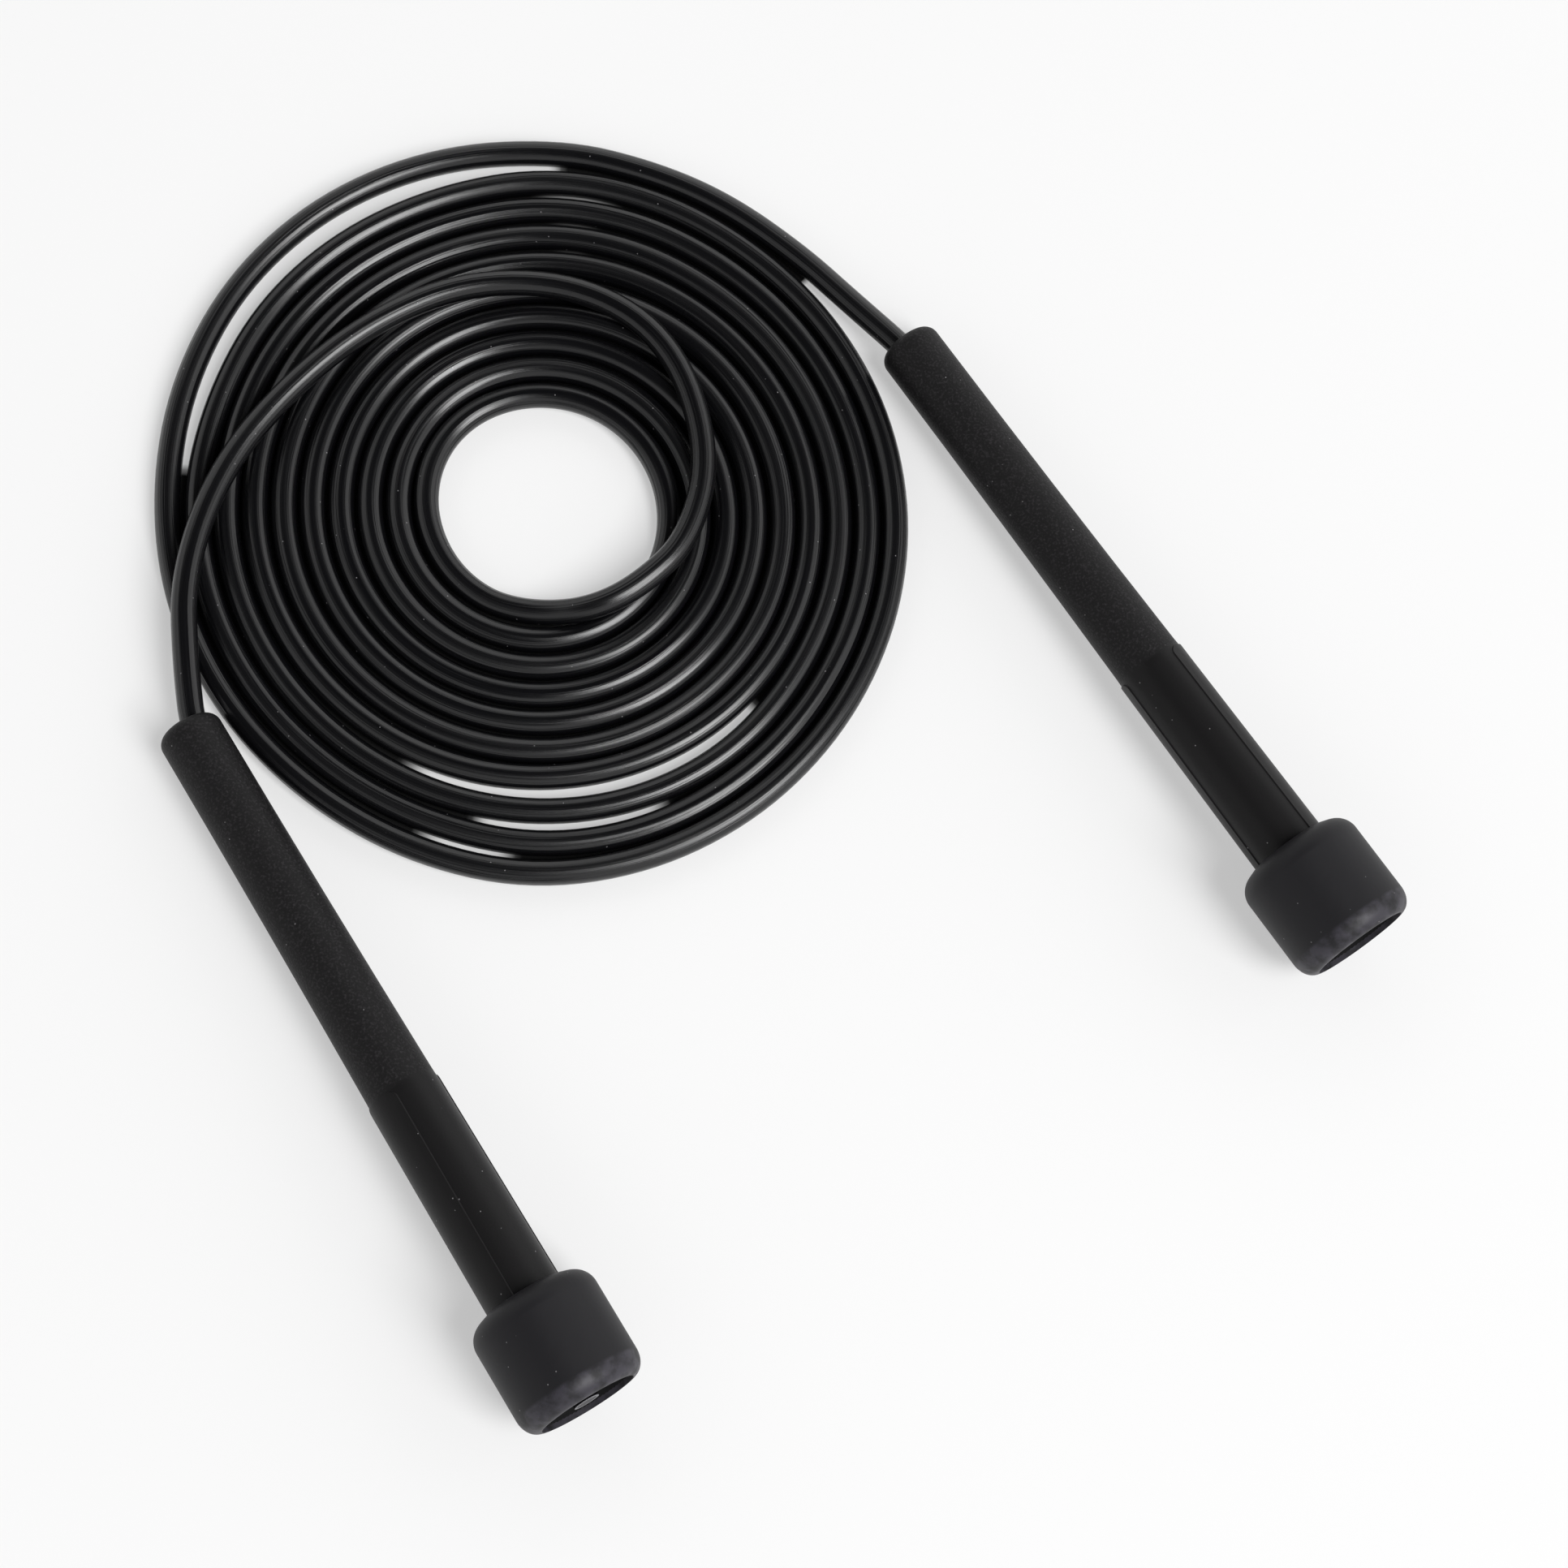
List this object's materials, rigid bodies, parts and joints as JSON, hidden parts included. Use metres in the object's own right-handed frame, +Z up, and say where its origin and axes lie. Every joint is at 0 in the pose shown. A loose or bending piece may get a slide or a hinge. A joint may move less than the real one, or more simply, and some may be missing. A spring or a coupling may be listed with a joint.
{
  "type": "jump rope",
  "caption": "Stored jump rope: one round plastic cord wound in a flat coil, its ends running into long hollow tapered handles that spin on it and end in round rubber knobs.",
  "frame": {"origin": "middle of the box round both handles, on the floor they lie on", "axes": "+Z up from the floor; +X from the left handle to the right handle; +Y from the knobs towards the coil"},
  "size_m": [0.2388, 0.2572, 0.0257],
  "materials": {
    "rope": "glossy soft PVC, black",
    "grip": "fine-textured matte grip running into a satin barrel, black",
    "knob": "matte moulded rubber, black",
    "collar": "satin moulded plastic, black",
    "washer": "smooth natural nylon"
  },
  "bodies": {
    "rope": {"rope_coil": "rope", "rope_left_lead": "rope", "rope_right_lead": "rope", "left_rope_tail": "rope", "right_rope_tail": "rope", "left_washer": "washer", "right_washer": "washer", "left_stop_collar": "collar", "right_stop_collar": "collar"},
    "left_handle": {"left_grip": "grip", "left_knob": "knob"},
    "right_handle": {"right_grip": "grip", "right_knob": "knob"}
  },
  "joints": [
    {"name": "left_handle_spin", "type": "hinge", "parent": "rope", "child": "left_handle", "pos_m": [-0.11309, 0.0234, 0.00608], "axis": [0.5226, -0.8512, 0.0492], "continuous": true},
    {"name": "right_handle_spin", "type": "hinge", "parent": "rope", "child": "right_handle", "pos_m": [0.02429, 0.10584, 0.00608], "axis": [0.567, -0.8222, 0.0492], "continuous": true}
  ]
}
